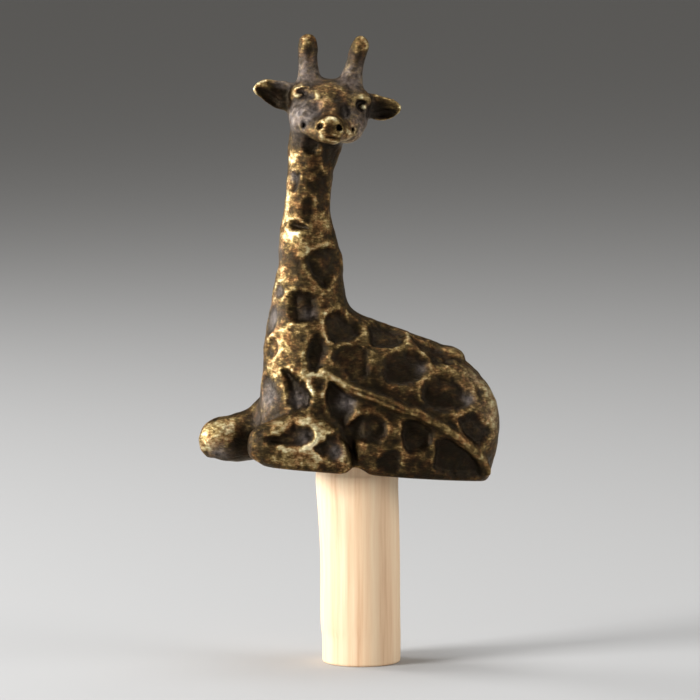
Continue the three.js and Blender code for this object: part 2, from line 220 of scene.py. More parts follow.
# The face's details, in the order they are worked: (how, centre, half-widths, lean, fillet).
FACE = [
    # the hollows beside the muzzle
    ("cut", (-4.6, -14.2, 3.6), (3.4, 4.6, 4), -12, 0.8),
    ("cut", (5.3, -13.6, 3.2), (2.4, 4.8, 3.4), 8, 0.8),
    # the nose, the lower lip and the mouth
    ("add", (1, -19.6, -1), (2.8, 2.2, 1.6), 0, 1),
    ("add", (1.2, -18.6, -6.6), (3.2, 2.5, 1.2), 0, 1.5),
    ("cut", (2.2, -21.3, -6), (2.8, 0.8, 0.25), 0, 0.8),
    # the nostrils
    ("cut", (-2.4, -20.4, -2.8), (1.2, 2.6, 0.95), 0, 0.5),
    ("cut", (3.7, -21, -2.8), (0.9, 1.8, 0.8), 0, 0.6),
    # the whisker pits
    *[("cut", (x, -11.4, -3.4), (0.5, 2.5, 0.9), 0, 0.8) for x in (-7.3, 7.7, 10.2)],
    # the corner of an eye, the eyes' sockets and the eyes
    ("cut", (-6, -9.4, 6.1), (1.3, 2, 1.5), 0, 0.5),
    ("cut", (-9.4, -8, 6.2), (2.8, 2.4, 1.9), -15, 0.3),
    ("cut", (10.2, -6.6, 4.2), (2.3, 2, 2), 0, 0.6),
    ("add", (-9.9, -6.4, 5.5), (1.7, 1.1, 0.75), -18, 0.2),
    ("add", (10.4, -5.4, 3.8), (1.3, 1.3, 0.95), 0, 0.3),
]

HOLLOWS_IN_EARS = [
    ("cut", (-18.7, -2.5, 3.6), (5.4, 2.4, 1.8), 34, 0.5),
    ("cut", (17.4, -2.1, 2.1), (4.6, 2.2, 1.8), -6, 0.5),
]

# The eyelids are round tubes along paths of points.
LID_RADIUS = 0.45
LID_AT_CHEST_SIDE = [(-6.6, -8, 8.4), (-8, -7.6, 8.5), (-9.8, -6.6, 8.2), (-11.6, -5, 7.4)]
LID_AT_RUMP_SIDE = [(6.8, -7.6, 5.8), (8.2, -7, 6.7), (10.4, -5.6, 6.7), (12, -3.8, 5.4)]

# The near side's coat and tail are laid out on an upright plane at y = COAT_PLANE, seen from a little in
# front of the giraffe and a little above it, along COAT_VIEW.
COAT_PLANE = -17
COAT_VIEW = np.array((0.216, 0.973, -0.084))

# The tail on that plane, from the end of its tuft to its root: (across, up, radius).
TAIL = [
    (-19, 31.6, 0.6),
    (-13.5, 28.8, 1.1),
    (-9, 26.4, 1.4),
    (-4, 25.1, 1.6),
    (0.5, 23.9, 1.75),
    (5, 22.4, 1.8),
    (8.3, 21.3, 1.5),
    (9.6, 21, 0.9),
    (10.8, 20.9, 1.4),
    (13, 20.4, 1.6),
    (16.5, 18.8, 1.35),
    (20, 17.2, 1.35),
    (24, 15.2, 1.45),
    (28, 12.8, 1.3),
    (32, 10, 1.25),
    (35, 7.3, 1.3),
    (36.7, 4.6, 1.3),
    (36.8, 2.3, 1.2),
]

# The near side's coat: each patch's depth, and its outline on the coat plane.
NEAR_COAT = {
    "back of neck": (1.5, [
        (-20, 48.5), (-15.5, 50.5), (-13, 49.5), (-8.5, 45.5), (-10.5, 42), (-15, 40.8), (-18, 42),
    ]),
    "throat": (2, [
        (-32.5, 54.5), (-29.5, 56.3), (-24.5, 55.7), (-22.3, 52.5),
        (-22.5, 48.5), (-25.5, 46.5), (-30.5, 46.8),
    ]),
    "under throat": (1.5, [
        (-22.5, 43.3), (-20, 42), (-18, 38.5), (-18.6, 34.5), (-21, 31), (-24.3, 32.5), (-24.7, 38),
    ]),
    "shoulder": (0.7, [
        (-16, 37), (-13, 40.3), (-6.5, 39.8), (-4.2, 35), (-4.5, 30.5), (-10, 29.3), (-13.5, 33),
    ]),
    "withers": (1.5, [(-5.5, 47), (1, 47.8), (4.5, 46), (6.3, 43.3), (4, 41.2), (0, 40.3), (-4.5, 41)]),
    "ribs": (1.2, [
        (1, 38), (5, 39.7), (8.5, 39.9), (13, 37.5), (13.5, 34.5), (10.5, 30), (3, 28.8), (0, 32),
    ]),
    "back": (1.4, [
        (8.5, 45), (14.5, 43.8), (18.5, 41.8), (22.5, 38), (21.5, 36.7), (16, 36.6), (13, 40), (9.5, 42.3),
    ]),
    "thigh": (1.4, [
        (15.5, 32), (20, 33.3), (24.8, 32.3), (28.8, 27), (28.5, 24.3),
        (25, 22.2), (18, 21.8), (13.3, 24.5), (13.3, 29),
    ]),
    "hip": (1.1, [(30.3, 31.3), (32.5, 30.8), (33.2, 28.5), (32.5, 27), (31, 28)]),
    "rump": (1.5, [(26, 20), (30.5, 21.8), (33.5, 19.8), (37, 16.3), (34, 12), (30.5, 12.8), (27.5, 16)]),
    "chest": (2, [
        (-32.3, 30.3), (-29.5, 30.7), (-25, 27.5), (-22.3, 24),
        (-22.3, 20.8), (-25.5, 19.2), (-28.5, 20), (-29.8, 24.5),
    ]),
    "breast": (0.5, [(-22.5, 28.5), (-20, 29.8), (-17.8, 28.5), (-19, 25.5), (-21, 26)]),
    "belly": (1.8, [
        (-15.3, 29), (-11.5, 26), (-8, 22.8), (-9.3, 17), (-11.5, 15), (-15.5, 19), (-17.5, 23), (-17, 26.5),
    ]),
    "forearm": (2, [
        (-35.5, 9.8), (-30, 12), (-27.3, 15), (-24.5, 14.7), (-21.3, 13.5),
        (-20.3, 11.5), (-20.8, 9.7), (-25, 6.8), (-33.5, 7.3),
    ]),
    "elbow": (2, [
        (-19.3, 7.6), (-16.5, 9.8), (-15.3, 12), (-13, 12.3), (-11, 10.5),
        (-10.3, 8), (-10.7, 5), (-13, 3.3), (-16.5, 4.8),
    ]),
    "flank": (1.3, [
        (-8.5, 14), (-7, 17.5), (-4.5, 18.8), (0.5, 19.5), (3, 16.5), (2.5, 12), (-1, 10.3), (-6, 10.8),
    ]),
    "hind knee": (1.3, [(8, 17.5), (12, 18.5), (17, 15.5), (18, 12), (14.5, 8.5), (10.5, 8), (8.3, 12)]),
    "shin": (1, [(1, 3), (3, 7.5), (7, 8), (8.5, 5), (8, 2), (4, 1.2)]),
    "heel": (1.5, [
        (20, 13), (25, 12.5), (30, 9.5), (35, 5.5), (35.5, 2.5), (30, 2), (24, 1.5), (19.5, 3.5), (19.5, 9),
    ]),
    "upper neck front": (1.2, [
        (-35.1, 92.7), (-32.8, 93.2), (-32.5, 90.7), (-33.3, 87.7), (-34.3, 87.9), (-35.1, 90.7),
    ]),
    "neck pit": (1.8, [
        (-34.5, 77.2), (-32.8, 78.2), (-29.8, 77.2), (-28.6, 75.7), (-31.3, 75), (-33.8, 75.5),
    ]),
    "neck diamond": (1.5, [
        (-27.3, 67.2), (-24.8, 69.7), (-19.3, 70.5), (-16.8, 66.7),
        (-18.8, 61.2), (-21.1, 57.7), (-26.8, 62.7),
    ]),
    "nape": (0.9, [(-25.6, 103.2), (-21.8, 102.7), (-21.6, 97.7), (-23.8, 95.5), (-25.8, 97.2)]),
    "neck strip": (0.6, [
        (-27.8, 92.2), (-25.3, 93.7), (-23.1, 90.7), (-23.1, 83.7),
        (-25.3, 82.2), (-26.3, 85.7), (-29.3, 88.7),
    ]),
    "neck side": (0.3, [(-30, 84.5), (-27.3, 84.5), (-26.8, 80), (-28, 77.8), (-30, 79)]),
    "jaw shadow": (1, [(-31.3, 103.5), (-27.8, 103.7), (-26.8, 101.2), (-28.3, 99.2), (-31.1, 99.7)]),
}

# Patches that wrap the edges between the near and far sides: (x, y, z, radius, depth).
EDGE_COAT = [
    (-34, -5, 23, 4, 0.3),
    (-35, 4, 30, 4.5, 1.3),
    (-35, -6, 36, 3.5, 0.7),
    (-35, -2, 45, 4.2, 0.8),
    (-34, 7, 51, 3.8, 1.2),
    (-34, -4, 55, 2.6, 0.8),
    (-34, 4, 63, 3.6, 1.2),
    (-32, 6, 77, 3, 1),
    (-30, 5, 86, 3, 0.9),
    (-30, 5, 96, 3, 0.9),
    (-17, 3, 97, 3, 0.8),
    (-18, 2, 87, 3, 0.8),
    (-16, 3, 76, 3.2, 0.8),
    (-13, 3, 65, 3.6, 0.8),
    (-8, 6, 53, 4, 0.9),
    (2, 8, 45, 4.2, 0.9),
    (13, 9, 41.5, 4.4, 0.9),
    (32, -1.5, 36.2, 2.8, 1),
    (32, 9, 32.5, 4.2, 0.9),
    (38, 8, 25, 4.2, 0.9),
    (41.5, 5, 16, 4.5, 0.9),
    (40, 0, 6, 3.5, 0.8),
]

# Where the finish is more or less rubbed than elsewhere, and where it is grey: left smooth in most places,
# and a painted sheen on the patch walls that face the key lamp:
# (x, y, z, radius, amount).
RUBBED = [
    # the neck
    (-32.5, -3, 96, 2.5, 0.45),
    (-33, -1, 85, 2.5, 0.4),
    (-33.5, -1, 79, 3, 0.4),
    (-32, -4, 71, 4, 0.35),
    (-28, -8, 71, 3.5, 0.25),
    (-20, -6, 76, 4, 0.25),
    (-28, -8, 84, 4, -0.12),
    (-22, -8, 88, 7, -0.1),
    (-24, -8, 101, 6, -0.2),
    (-29, -8, 65, 3, -0.15),
    # the chest
    (-33, -4, 60, 4, 0.4),
    (-34, 0, 53, 3, 0.25),
    (-31, -8, 44, 3, 0.2),
    (-31, -9, 38, 4, 0.35),
    (-34, -6, 36, 3, 0.2),
    (-33, -7, 29, 3.5, 0.4),
    (-32, -7, 24.5, 3, -0.4),
    (-20, -12, 50, 4, -0.25),
    (-14, -14, 39, 4, -0.15),
    # the forelegs
    (-46, 2, 8, 6, 0.3),
    (-42, 2, 10, 3, 0.3),
    (-39, -10, 5, 4, -0.6),
    (-39, 0, 5, 4, -0.6),
    (-37, -16, 8, 4, -0.3),
    (-32, -15, 15, 3, 0.25),
    (-23, -18, 17, 3, 0.2),
    (-19, -19, 15, 4, 0.14),
    (-28, -20, 3, 7, 0.15),
    (-19, -21, 3, 4, 0.2),
    (-11, -20, 7, 3, 0.22),
    # the body
    (-19, -16, 30, 3.5, 0.25),
    (-12, -17, 26.5, 4, 0.2),
    (6, -20, 22, 7, 0.12),
    (34, -18, 9, 4, 0.2),
    (8, -16, 38, 10, -0.1),
    (24, -18, 28, 10, -0.1),
    (-9, -16, 16.5, 3, -0.5),
    (4, -20, 14, 9, -0.12),
    (28, -18, 8, 12, -0.2),
    (12, -20, 3, 8, -0.12),
    (10, -9, 43, 5, 0.2),
    (16.5, -6, 43.3, 2, 0.35),
    (20.5, -5, 41.8, 2, 0.35),
    (25, -5, 40.3, 2.5, 0.4),
    (29, -12, 34.5, 4, 0.45),
    (34, -12, 30, 4, 0.45),
    (37, -14, 25, 4, 0.5),
    (38, -15, 19, 4, 0.45),
    (18, -18, 36, 5, 0.2),
    # the head
    (-26, -25, 107.5, 2.5, -0.1),
    (-29, -22, 106, 1.8, -0.3),
    (-24.5, -21, 111, 2, -0.2),
    (-33, -7.5, 118.8, 1.8, 0.25),
    (-33.4, -8, 116, 1.2, 0.3),
    (-29.7, -11, 116.7, 1.4, -0.3),
    (-28, -11, 116, 1.8, 0.35),
    (-27, -13, 113, 1.6, 0.35),
    (-21, -14, 115, 2.6, -0.4),
    (-17, -14, 112, 3.5, -0.25),
    (-31, -13, 108, 3, -0.3),
    (-44, 0, 118.5, 3, 0.02),
    (-1, -8, 114.5, 4, -0.25),
    (-39.5, -1, 114, 4, -0.7),
    (-8, -7, 113, 5, -0.35),
    (-30, -2, 132, 6, -0.38),
    (-14, -5, 133, 6, -0.32),
    (-24, -12, 118, 6, 0.15),
]
BARE_AND_SHEEN = [
    (-30, -2, 123, 5, 0.8),
    (-16, -5, 123, 5, 0.8),
    (-37, 0, 119.5, 3, 0.7),
    (-38, -2, 113.5, 4, -0.8),
    (-33, -5, 21, 4, 0.8),
    (-32.5, -4, 90.5, 1.8, 0.8),
    (-33, -2, 46, 3.5, 0.9),
    (-34, -3, 54.5, 2, 0.9),
    (-33, 0, 66, 3, 0.6),
    (-46, 2, 1.5, 3, 0.9),
    (-35, -2, 15, 4, 0.3),
    # painted grey sheen on the walls of the throat's, chest's, belly's, forearm's and elbow's patches that
    # face the key lamp
    (-24, -10, 48.5, 1.7, 0.9),
    (-25, -13, 22, 2.5, 0.9),
    (-10.5, -16, 22, 2.4, 0.9),
    (-23.5, -19, 10.5, 2.3, 0.9),
    (-12.5, -20, 7, 2, 0.9),
    (-32, -12, 111, 5, 0.9),
    (-35, -6, 108, 5, 0.9),
    (-14, -12, 108, 6, 0.8),
    # painted grey sheen on the walls of the thigh's and ribs' patches that face the key lamp
    (28.3, -18, 26.5, 1.8, 0.7),
    (13.2, -16.5, 35.5, 1.8, 0.7),
    (37, -13, 22, 6, 0.3),
    (31, -12, 33, 5, 0.25),
]

# ---- How the surface is worked ----

# A side's patches fade out where the surface turns away from it, and their outlines wander.
FACING = (0.05, 0.35)
OUTLINE_WANDER = [(3.5, (11, 12), 0.5), (1.4, (13, 14), 0.35)]  # (size, a seed for each axis, amount)
EDGE_WANDER = (4, (15, 16, 17), 0.9)

# The far side's coat is the near side's mirror image, but moved by this below the neck.
FAR_COAT_SHIFT = (3, -1.5)
FAR_COAT_SHIFT_BELOW = 58

# A patch's wall starts outside its outline, and reaches further in where the patch is deeper.
WALL_OUTSIDE = 0.8
WALL_INSIDE = 0.8
WALL_PER_DEPTH = 0.5

# The narrow crest between two patches, which fades out up the neck, and the rim round each patch.
CREST_HEIGHT = 0.2
CREST_WIDTH = 1.4
CREST_NEAR_PATCH = (-3.4, -1.2)
CREST_FADES_UP = (84, 72)
RIM_HEIGHT = 0.06
RIM_OUTSIDE = 1.1
RIM_WIDTH = 0.7

# The tail, which has a groove between two strands from its tuft to the middle of the thigh.
TAIL_STEPS = 5
TAIL_RAISED = 0.4
TAIL_EDGE = (1.2, 0.2)
GROOVE_DEPTH = 0.25
GROOVE_WIDTH = 0.35
GROOVE_WANDER = (5, 26, 0.7)  # (size, seed, amount)
GROOVE_STARTS = (-12, -8)
GROOVE_ENDS = (16, 10)

# The cast metal's lumps, and the unevenness of its wear: (size, seed, amount).
LUMPS = [(5, 21, 0.2), (2.2, 22, 0.14), (1.1, 23, 0.06)]
LUMPS_LOST_ON_TAIL = 0.85  # their share
UNEVEN_WEAR = [(7, 24, 0.14), (3, 25, 0.1), (1.5, 27, 0.1)]

# Wear, from 0 for dark patina to 1 for bright metal, is a sum of these, per millimetre or per whole feature.
WEAR_LEVEL = 0.3
WEAR_OF_FINE_RELIEF = 0.65
WEAR_OF_BROAD_RIDGE = 0.28
WEAR_OF_BROAD_HOLLOW = 0.16
WEAR_OF_CREST = 0.06
WEAR_OF_TAIL = 0.05
WEAR_OF_GROOVE = -0.2
WEAR_OF_DEPTH = -0.1
WEAR_OF_LOWER_EDGE = -0.3
LOWER_EDGE = (2.5, 0.5)

# The body behind the neck has its bright ridges dimmed, partly as less wear and partly as painted shade on
# the side away from the key lamp: it loses this share of its wear above a limit.
RUMP_WEAR_AND_SHADE_LOSS = 0.45
RUMP_WEAR_AND_SHADE_ABOVE = 0.45

# ---- Clay: a solid as signed distances on a grid, negative inside ----

VOXEL = 0.54
BAND = 8  # voxels on each side of a form's surface where its distance is known
FAR = BAND * VOXEL
GRID_LOW = np.array((-56, -30, -8))
GRID_HIGH = np.array((46, 26, 142))
NOWHERE_NEAR = 99.0
LOFT_STEPS = 6


def rings_mesh(rings):
    """Points and triangles of the closed form whose cross-sections are these rings of equally many points."""
    count, around = rings.shape[:2]
    points = np.vstack([rings.reshape(-1, 3), rings[0].mean(0), rings[-1].mean(0)])
    bottom_middle, top_middle = count * around, count * around + 1
    here = np.arange(around)
    after = (here + 1) % around
    triangles = []
    for i in range(count - 1):
        low, high = i * around, (i + 1) * around
        triangles.append(np.stack([low + here, low + after, high + after], 1))
        triangles.append(np.stack([low + here, high + after, high + here], 1))
    top = (count - 1) * around
    triangles.append(np.stack([np.full(around, bottom_middle), after, here], 1))
    triangles.append(np.stack([np.full(around, top_middle), top + here, top + after], 1))
    return points, np.vstack(triangles)


def smooth_curve(controls, steps):
    """Points on the Catmull-Rom curve from the second control to the last but one, steps for each stretch."""
    made = []
    for i in range(len(controls) - 3):
        a, b, c, d = controls[i : i + 4]
        for t in np.arange(steps) / steps:
            square = (2 * a - 5 * b + 4 * c - d) * t**2
            cube = (3 * b - a - 3 * c + d) * t**3
            made.append(0.5 * (2 * b + (c - a) * t + square + cube))
    return made


def smooth_rows(rows, steps):
    """A smooth curve through the rows, with this many steps from one to the next."""
    rows = np.array(rows, float)
    controls = np.vstack([2 * rows[0] - rows[1], rows, 2 * rows[-1] - rows[-2]])
    return np.array([*smooth_curve(controls, steps), rows[-1]])


def rounded(outline, steps=4):
    """A closed outline's corners run into a smooth curve through the same points."""
    corners = np.array(outline, float)
    controls = np.vstack([corners[-1:], corners, corners[:2]])
    return np.array(smooth_curve(controls, steps))


def circle_points(around):
    """Points on the unit circle about Z."""
    angle = np.linspace(0, 2 * math.pi, around, endpoint=False)
    return np.stack([np.cos(angle), np.sin(angle), np.zeros(around)], 1)


def loft(rows, axis, around=96):
    """The form through the rows, with elliptical sections across the axis."""
    second, third = (axis + 1) % 3, (axis + 2) % 3
    cosine, sine, _ = circle_points(around).T
    rings = []
    for place, middle2, middle3, half2, half3 in smooth_rows(rows, LOFT_STEPS):
        ring = np.empty((around, 3))
        ring[:, axis] = place
        ring[:, second] = middle2 + half2 * cosine
        ring[:, third] = middle3 + half3 * sine
        rings.append(ring)
    return rings_mesh(np.array(rings))


def ball(centre, half, lean, around=48):
    """An ellipsoid. A positive lean, in degrees, tips its +X end down."""
    near_pole = 0.02
    turn = np.linspace(near_pole, math.pi - near_pole, around // 2)
    cosine, sine, _ = circle_points(around).T
    sections = [
        np.outer(np.sin(turn), cosine),
        np.outer(np.sin(turn), sine),
        np.outer(np.cos(turn), np.ones(around)),
    ]
    points, triangles = rings_mesh(np.stack(sections, -1) * half)
    tip = np.array(Matrix.Rotation(math.radians(lean), 3, "Y"))
    return points @ tip.T + centre, triangles


def tube(path, radii, around=24):
    """A round tube along a path of points that nowhere runs along Y."""
    path = np.array(path, float)
    along = np.gradient(path, axis=0)
    along /= np.linalg.norm(along, axis=1)[:, None]
    side = np.cross(along, (0, 1, 0))
    side /= np.linalg.norm(side, axis=1)[:, None]
    out = np.cross(side, along)
    cosine, sine, _ = circle_points(around).T
    spokes = side[:, None] * cosine[:, None] + out[:, None] * sine[:, None]
    return rings_mesh(path[:, None] + spokes * np.array(radii)[:, None, None])


def cylinder(radius, low, high, around=96):
    """A cylinder about Z."""
    ring = circle_points(around) * radius
    return rings_mesh(np.stack([ring + (0, 0, low), ring + (0, 0, high)]))


def both_sides(form, axis):
    """The form and its mirror image in the plane where the axis is 0."""
    points, triangles = form
    image = points.copy()
    image[:, axis] *= -1
    return [form, (image, triangles)]


def moved(points, matrix):
    """The points taken through a 4x4 matrix."""
    matrix = np.array(matrix)
    return points @ matrix[:3, :3].T + matrix[:3, 3]


def soft_min(a, b, fillet):
    """The smaller of two distances, run together over the fillet's width where they are nearly equal."""
    overlap = np.maximum(fillet - np.abs(a - b), 0) / fillet
    return np.minimum(a, b) - overlap**2 * fillet / 4


def smoothstep(low, high, value):
    """Goes smoothly from 0 at low to 1 at high, which may be the smaller of the two."""
    t = np.clip((value - low) / (high - low), 0, 1)
    return t * t * (3 - 2 * t)


def bell(value, width):
    """1 where the value is 0, and smoothly less away from it."""
    return np.exp(-((value / width) ** 2))


class Clay:
    """A solid that forms are added to and cut from."""

    def __init__(self):
        self.start = np.floor(GRID_LOW / VOXEL).astype(int)
        shape = np.ceil(GRID_HIGH / VOXEL).astype(int) - self.start
        self.distance = np.full(shape, FAR, np.float32)

    def axes(self):
        """The grid's places along X, Y and Z."""
        return [(np.arange(count) + start) * VOXEL for count, start in zip(self.distance.shape, self.start)]

    def form_distance(self, form):
        """The slices of the grid that a form reaches, and its signed distances there."""
        points, triangles = form
        low = np.floor((points.min(0) - FAR) / VOXEL).astype(int) - self.start
        high = np.ceil((points.max(0) + FAR) / VOXEL).astype(int) - self.start
        low = np.maximum(low, 0)
        high = np.minimum(high, self.distance.shape)
        grid = vdb.FloatGrid.createLevelSetFromPolygons(
            points.astype(np.float32),
            triangles=triangles.astype(np.uint32),
            transform=vdb.createLinearTransform(VOXEL),
            halfWidth=BAND,
        )
        distance = np.empty(high - low, np.float32)
        grid.copyToArray(distance, ijk=tuple(int(v) for v in low + self.start))
        return tuple(slice(a, b) for a, b in zip(low, high)), distance

    def add(self, form, fillet):
        where, distance = self.form_distance(form)
        self.distance[where] = soft_min(self.distance[where], distance, fillet)

    def cut(self, form, fillet):
        where, distance = self.form_distance(form)
        self.distance[where] = -soft_min(-self.distance[where], distance, fillet)

    def at(self, points):
        """The distance at each point, from the nearest place on the grid."""
        place = np.rint(points / VOXEL).astype(int) - self.start
        place = np.clip(place, 0, np.array(self.distance.shape) - 1)
        return self.distance[tuple(place.T)]

    def first_hit(self, points, direction, reach=60, step=0.2):
        """Where rays from the points first meet the solid."""
        hit = np.array(points, float)
        moving = np.ones(len(hit), bool)
        for _ in range(int(reach / step)):
            moving &= self.at(hit) > 0
            hit[moving] += direction * step
        return hit

    def surface(self):
        """Points and four-sided faces of the solid's surface."""
        grid = vdb.FloatGrid(FAR)
        grid.transform = vdb.createLinearTransform(VOXEL)
        grid.copyFromArray(self.distance, ijk=tuple(int(v) for v in self.start))
        points, quads = grid.convertToQuads(0.0)
        return points.astype(float), quads.astype(int)


class PlacedClay:
    """Clay that is worked in a frame of its own, whose place is a 4x4 matrix."""

    def __init__(self, clay, place):
        self.clay = clay
        self.place = place

    def add(self, form, fillet):
        self.clay.add((moved(form[0], self.place), form[1]), fillet)

    def cut(self, form, fillet):
        self.clay.cut((moved(form[0], self.place), form[1]), fillet)


# ---- The giraffe in clay ----


def work_details(clay, details):
    """Adds or cuts each of a table's balls in turn."""
    for how, centre, half, lean, fillet in details:
        form = ball(centre, half, lean)
        if how == "add":
            clay.add(form, fillet)
        else:
            clay.cut(form, fillet)


def model_head(head):
    """The head with its horns and ears, in its own frame."""
    head.add(ball(*SKULL), fillet=3)
    for cheek in both_sides(ball(*CHEEK), X):
        head.add(cheek, fillet=3)
    for brow in both_sides(ball(*BROW), X):
        head.add(brow, fillet=2)
    head.add(ball(*CHIN), fillet=3)
    head.add(ball(*JAW_AT_RUMP_SIDE), fillet=2)
    for horn in (HORN_AT_CHEST_SIDE, HORN_AT_RUMP_SIDE):
        head.add(loft(horn, Z, 48), fillet=2.5)
    for ear in (EAR_AT_CHEST_SIDE, EAR_AT_RUMP_SIDE):
        head.add(loft(ear, X, 48), fillet=2)
    head.add(loft(MUZZLE, Y, 64), fillet=2.5)
    work_details(head, FACE)
    for lid, fillet in ((LID_AT_CHEST_SIDE, 0.6), (LID_AT_RUMP_SIDE, 1.2)):
        path = smooth_rows(lid, 5)
        head.add(tube(path, np.full(len(path), LID_RADIUS)), fillet)
    work_details(head, HOLLOWS_IN_EARS)


def tail_form(clay):
    """The tail, laid where the clay is first met along the coat's view."""
    across, up, radius = smooth_rows(TAIL, TAIL_STEPS).T
    in_plane = np.stack([across, np.full_like(across, COAT_PLANE), up], 1)
    on_clay = clay.first_hit(in_plane - 20 * COAT_VIEW, COAT_VIEW)
    return tube(on_clay - TAIL_RAISED * COAT_VIEW, radius)


def cut_underside(clay):
    """The underside, the notch in its near edge, and the socket and tapped hole for the dowel."""
    x, y, z = clay.axes()
    sag = SAG * np.outer(smoothstep(*SAG_ALONG_X, x), smoothstep(*SAG_ALONG_Y, y))
    below = -(z + sag[:, :, None])
    clay.distance = np.maximum(clay.distance, below.astype(np.float32))
    from_near_side = Matrix.Translation((NOTCH_X, 0, -NOTCH_BELOW)) @ Matrix.Rotation(math.pi / 2, 4, "X")
    PlacedClay(clay, from_near_side).cut(cylinder(NOTCH_RADIUS, 10, 26), fillet=0.8)
    along_dowel = PlacedClay(clay, ON_DOWEL.inverted() @ Matrix.Translation((TENON_OFFSET, 0, 0)))
    along_dowel.cut(cylinder(SOCKET_RADIUS, UNDERSIDE_HEIGHT - 8, SOCKET_TOP), fillet=0.1)
    along_dowel.cut(cylinder(STUD_HOLE_RADIUS, SOCKET_TOP - 1, STUD_HOLE_TOP, 48), fillet=0.1)


def model_giraffe():
    """The whole giraffe, without its coat."""
    clay = Clay()
    clay.add(loft(TORSO, X), fillet=1)
    clay.add(loft(NECK, Z), fillet=5)
    for thigh in both_sides(ball(*THIGH, around=96), Y):
        clay.add(thigh, fillet=3)
    for shank in both_sides(loft(SHANK, X), Y):
        clay.add(shank, fillet=1.5)
    clay.add(ball(*BUMP_ON_BACK), fillet=0.8)
    clay.add(loft(STRETCHED_FORELEG, X), fillet=2.8)
    clay.add(loft(FORELEG, X), fillet=1.5)
    model_head(PlacedClay(clay, HEAD_FRAME))
    clay.add(tail_form(clay), fillet=0.5)
    cut_underside(clay)
    return clay


# ---- Pressing the coat into the surface ----


def noise(points, size, seed):
    """Smooth random values between -1 and 1 that change over about this many millimetres."""
    count = 32
    lattice = np.random.default_rng(seed).uniform(-1, 1, (count,) * 3)
    place = points / size + 1000.5
    cell = np.floor(place).astype(int)
    part = place - cell
    part = part * part * (3 - 2 * part)
    total = np.zeros(len(points))
    for corner in np.ndindex(2, 2, 2):
        weight = np.prod(np.where(corner, part, 1 - part), axis=1)
        total += weight * lattice[tuple((cell + corner).T % count)]
    return total


def layers_of_noise(points, layers):
    """The sum of layers of noise, each (size, seed, amount)."""
    return sum(reach * noise(points, size, seed) for size, seed, reach in layers)


def wander(points, size, seeds, reach):
    """A smoothly changing offset for each point, with one seed for each of its axes."""
    return np.stack([noise(points, size, seed) for seed in seeds], 1) * reach


def amount(points, blobs):
    """The sum of soft round blobs (x, y, z, radius, strength) at each point."""
    total = np.zeros(len(points))
    for x, y, z, radius, strength in blobs:
        total += strength * np.exp(-(np.sum((points - (x, y, z)) ** 2, axis=1)) / radius**2)
    return total


def vertex_normals(points, quads):
    """Each vertex's unit normal, from the faces around it by their areas."""
    a, b, c, d = (points[quads[:, i]] for i in range(4))
    face = np.cross(c - a, d - b)
    normal = np.zeros_like(points)
    for corner in range(4):
        for axis in range(3):
            normal[:, axis] += np.bincount(quads[:, corner], face[:, axis], len(points))
    return normal / np.maximum(np.linalg.norm(normal, axis=1), 1e-12)[:, None]


def neighbour_mean(values, quads, count):
    """Each vertex's mean over its neighbours along the faces' edges, repeated count times."""
    starts = quads.ravel()
    ends = np.roll(quads, -1, axis=1).ravel()
    links = np.bincount(starts, minlength=len(values)) + np.bincount(ends, minlength=len(values))
    mean = values.copy()
    for _ in range(count):
        total = np.zeros_like(mean)
        for axis in range(mean.shape[1]):
            total[:, axis] = np.bincount(starts, mean[ends, axis], len(mean))
            total[:, axis] += np.bincount(ends, mean[starts, axis], len(mean))
        mean = total / links[:, None]
    return mean


def on_coat_plane(points, side):
    """Where points are seen on the coat plane of the near side (side -1) or the far side (side 1)."""
    view = COAT_VIEW * (1, -side, 1)
    past_plane = points[:, 1] + side * COAT_PLANE
    return (points - view * (past_plane / view[1])[:, None])[:, [0, 2]]


def tail_place(points):
    """How far points are outside the tail's outline on the coat plane (negative inside it), how far they are
    from its middle line, and how far across they are."""
    place = on_coat_plane(points, -1)
    rows = smooth_rows(TAIL, TAIL_STEPS)
    along = np.gradient(rows[:, :2], axis=0)
    along /= np.linalg.norm(along, axis=1)[:, None]
    outside = np.full(len(points), NOWHERE_NEAR)
    aside = np.zeros(len(points))
    for (across, up, radius), (ahead, rise) in zip(rows, along):
        offset = place - (across, up)
        distance = np.linalg.norm(offset, axis=1) - radius
        nearer = distance < outside
        outside[nearer] = distance[nearer]
        aside[nearer] = (offset[:, 1] * ahead - offset[:, 0] * rise)[nearer]
    return outside, aside, place[:, 0]


def tail_and_groove(points):
    """How much each vertex is on the tail, and how much in its groove."""
    outside, aside, across = tail_place(points)
    on_tail = smoothstep(*TAIL_EDGE, outside) * (points[:, 1] < 0)
    twisted = smoothstep(*GROOVE_STARTS, across) * smoothstep(*GROOVE_ENDS, across)
    size, seed, reach = GROOVE_WANDER
    groove = bell(aside - reach * noise(points, size, seed), GROOVE_WIDTH) * on_tail * twisted
    return on_tail, groove


def depth_inside(points, outline):
    """How far each point is inside an outline in its plane; negative outside, and not worked out far off."""
    depth = np.full(len(points), -NOWHERE_NEAR)
    reach = 4
    near = np.all((points > outline.min(0) - reach) & (points < outline.max(0) + reach), axis=1)
    close = points[near]
    distance = np.full(len(close), NOWHERE_NEAR)
    within = np.zeros(len(close), bool)
    for start, end in zip(outline, np.roll(outline, -1, 0)):
        edge = end - start
        share = np.clip((close - start) @ edge / (edge @ edge), 0, 1)
        distance = np.minimum(distance, np.linalg.norm(close - start - share[:, None] * edge, axis=1))
        spans = (start[1] > close[:, 1]) != (end[1] > close[:, 1])
        rise = edge[1] or 1e-9  # a level edge spans nothing
        crossing = start[0] + (close[:, 1] - start[1]) * edge[0] / rise
        within ^= spans & (close[:, 0] < crossing)
    depth[near] = np.where(within, distance, -distance)
    return depth


